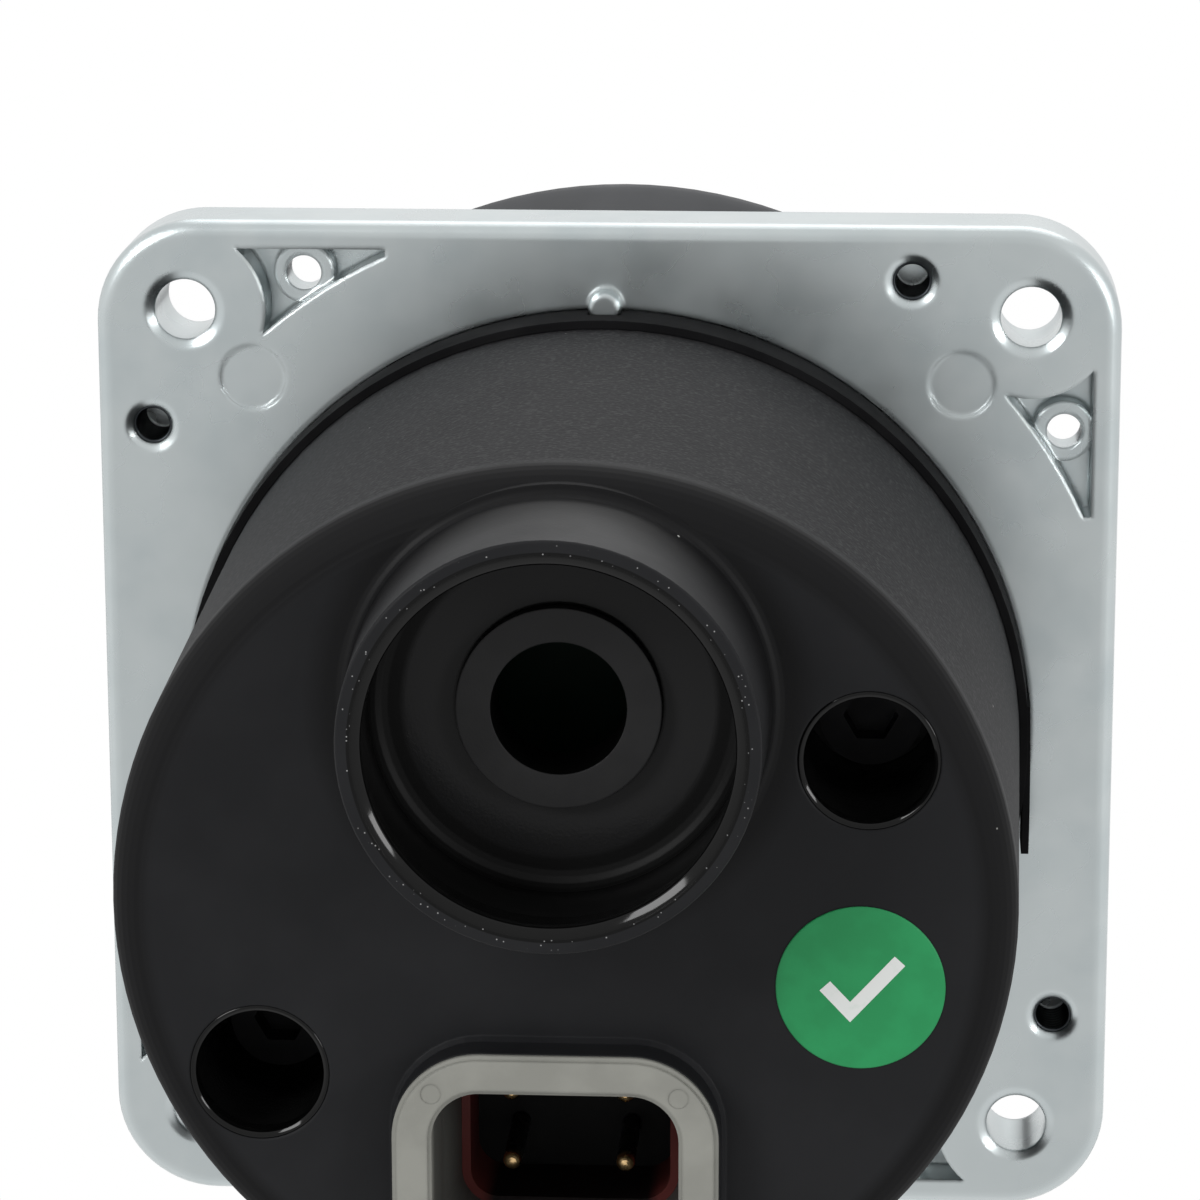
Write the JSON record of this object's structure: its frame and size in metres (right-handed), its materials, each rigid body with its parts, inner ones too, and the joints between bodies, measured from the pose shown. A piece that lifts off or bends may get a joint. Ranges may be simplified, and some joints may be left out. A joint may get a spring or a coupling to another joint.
{
  "type": "industrial joystick",
  "caption": "Panel-mount two-axis sprung joystick: square die-cast plate, black round housing with cable port and electrical connector, rubber bellows and hand grip.",
  "frame": {"origin": "centre of the four panel bolt holes, on the underside of the mounting plate, which is the face that seats on the panel", "axes": "+Z along the lever at rest, towards the grip; +Y towards the side of the electrical connector; +X along the other side of the plate, so that the frame is right-handed"},
  "size_m": [0.094, 0.094, 0.2387],
  "materials": {
    "plate_alloy": "die-cast zinc-aluminium alloy, fine blasted skin, faintly blue grey",
    "housing_black": "black glass-filled nylon, slightly satin",
    "strip_black": "soft black sealing strip",
    "seal_black": "black moulded seal",
    "screw_black": "blackened steel",
    "bush_black": "black nylon",
    "connector_grey": "warm light grey polyamide",
    "connector_red": "dark red silicone",
    "insert_black": "black",
    "contact_gold": "gold-plated contact",
    "board_green": "solder mask",
    "chip_black": "moulded package",
    "sticker_green": "green printed label",
    "frame_alloy": "machined die casting",
    "steel": "bright steel",
    "bronze": "sintered bronze",
    "spring_steel": "drawn spring wire",
    "boot_rubber": "black neoprene bellows",
    "holder_black": "black",
    "magnet_nickel": "nickel-plated magnet",
    "collar_black": "black",
    "grip_black": "fine-grained black",
    "cap_black": "fine-grained black"
  },
  "bodies": {
    "base": {"mounting_plate": "plate_alloy", "housing": "housing_black", "panel_seal_strip": "strip_black", "housing_seal": "seal_black", "housing_screws": "screw_black", "cable_bush": "bush_black", "connector_shroud": "connector_grey", "connector_seal": "connector_red", "connector_insert": "insert_black", "connector_pins": "contact_gold", "circuit_board": "board_green", "board_screws": "steel", "hall_sensors": "chip_black", "board_chips": "chip_black", "inspection_sticker": "sticker_green", "gimbal_frame": "frame_alloy", "frame_screws": "steel", "frame_bushes": "bronze", "ring_spring": "spring_steel", "boot_clamp_ring": "collar_black", "clamp_screws": "steel", "boot": "boot_rubber"},
    "ring": {"gimbal_ring": "frame_alloy", "ring_pins": "steel", "ring_spring_arm": "steel", "hub_bushes": "bronze", "lever_spring": "spring_steel"},
    "lever": {"lever_hub": "steel", "hub_pin": "steel", "lever_spring_arm": "steel", "lever_shaft": "steel", "magnet_holder": "holder_black", "magnet": "magnet_nickel", "boot_collar": "collar_black", "lock_nut": "steel", "grip_washer": "steel", "grip_shell_left": "grip_black", "grip_shell_right": "grip_black", "grip_screws": "screw_black", "grip_cap": "cap_black"}
  },
  "joints": [
    {"name": "tilt_about_x", "type": "hinge", "parent": "base", "child": "ring", "pos_m": [0, 0, -0.012], "axis": [1, 0, 0], "range_deg": [-20, 20], "stiffness_Nm_per_rad": 3, "deforming": ["boot", "ring_spring"]},
    {"name": "tilt_about_y", "type": "hinge", "parent": "ring", "child": "lever", "pos_m": [0, 0, -0.012], "axis": [0, 1, 0], "range_deg": [-20, 20], "stiffness_Nm_per_rad": 3, "deforming": ["boot", "lever_spring"]}
  ]
}
